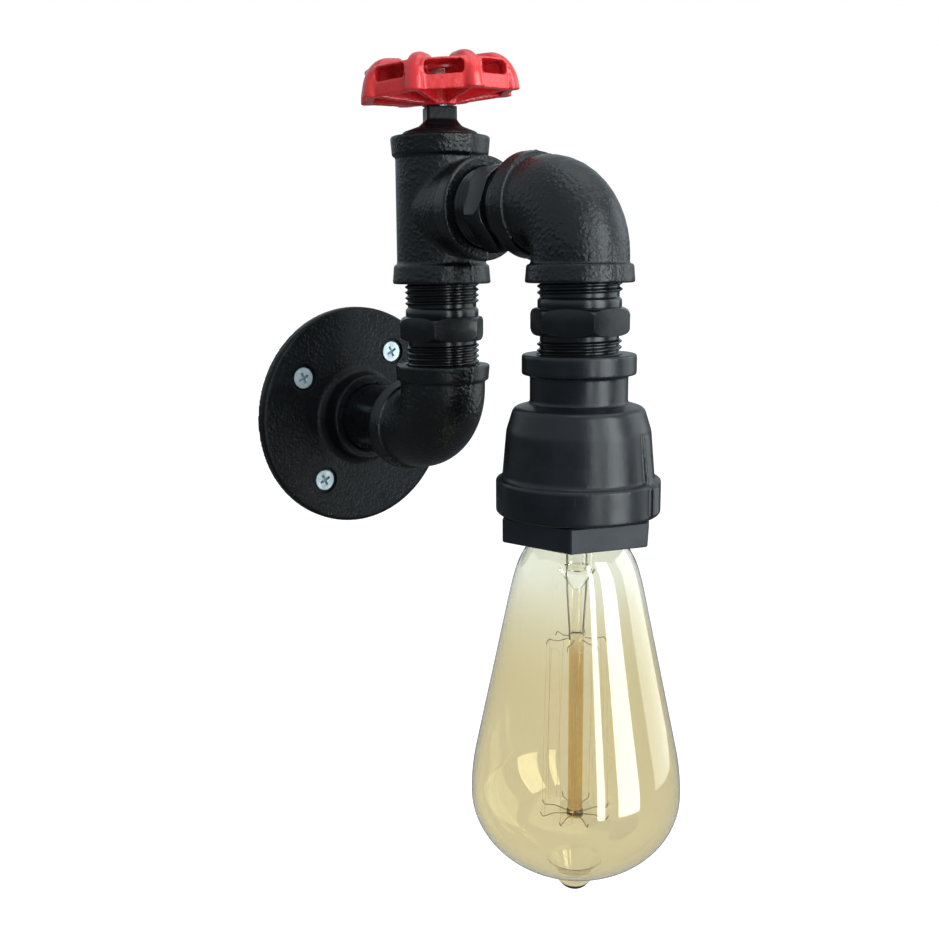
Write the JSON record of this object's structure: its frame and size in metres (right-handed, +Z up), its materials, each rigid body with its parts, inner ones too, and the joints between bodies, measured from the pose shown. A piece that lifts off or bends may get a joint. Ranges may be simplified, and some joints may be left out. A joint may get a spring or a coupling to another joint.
{
  "type": "pipe wall light",
  "caption": "Wall light of black pipe fittings: a round flange, a riser with elbow and tee, a red handwheel on top and an amber screw-base lamp hanging from a reducing socket.",
  "frame": {"origin": "centre of the wall flange's back face, on the wall", "axes": "+Z up, -Y out of the wall towards the room, +X to the right for someone who faces the wall"},
  "size_m": [0.0816, 0.1755, 0.2634],
  "materials": {
    "cast_black": "semi-gloss black paint on cast iron",
    "pipe_black": "gloss black paint on machined steel",
    "wheel_red": "gloss red paint, worn at the edges",
    "zinc": "bright zinc plate",
    "phenolic": "dark moulded insulator",
    "brass": "plain brass",
    "nickel": "nickelled lamp cap",
    "amber_glass": "clear amber",
    "stem_glass": "clear",
    "lamp_wire": "dull nickel wire",
    "filament": "dark carbon strand",
    "live_sleeve": "brown insulation",
    "neutral_sleeve": "blue insulation",
    "earth_sleeve": "green and yellow insulation"
  },
  "bodies": {
    "fixture": {"wall_flange": "cast_black", "wall_screws": "zinc", "flange_nipple": "pipe_black", "lower_elbow": "cast_black", "riser_nipple": "pipe_black", "tee": "cast_black", "branch_nipple": "pipe_black", "upper_elbow": "cast_black", "drop_nipple": "pipe_black", "reducing_socket": "cast_black", "hex_bushing": "pipe_black", "square_head_plug": "cast_black", "wheel_washer": "zinc", "wheel_screw": "zinc", "lampholder_body": "phenolic", "screw_shell": "brass", "contact_spring": "brass", "terminal_blocks": "brass", "terminal_screws": "zinc", "earth_strap": "brass", "live_lead": "live_sleeve", "neutral_lead": "neutral_sleeve", "earth_lead": "earth_sleeve", "lead_ferrules": "brass"},
    "wheel": {"handwheel": "wheel_red"},
    "bulb_carrier": {"cap_insulator": "phenolic", "cap_contact": "brass"},
    "bulb": {"bulb_cap": "nickel", "bulb_glass": "amber_glass", "glass_stem": "stem_glass", "centre_rod": "stem_glass", "lead_in_wires": "lamp_wire", "upper_supports": "lamp_wire", "lower_supports": "lamp_wire", "filament": "filament"}
  },
  "joints": [
    {"name": "handwheel_turn", "type": "hinge", "parent": "fixture", "child": "wheel", "pos_m": [0, -0.0576, 0.1074], "axis": [-0.0665, 0.0141, 0.9977], "continuous": true},
    {"name": "bulb_travel", "type": "slide", "parent": "fixture", "child": "bulb_carrier", "axis": [0, 0, -1], "range_m": [0, 0.01815]},
    {"name": "bulb_turn", "type": "hinge", "parent": "bulb_carrier", "child": "bulb", "pos_m": [0, -0.1247, 0], "axis": [0, 0, -1], "range_deg": [0, 1800]}
  ],
  "couplings": [
    {"joint": "bulb_travel", "follows": "bulb_turn", "m_per_rad": 0.00057757}
  ]
}
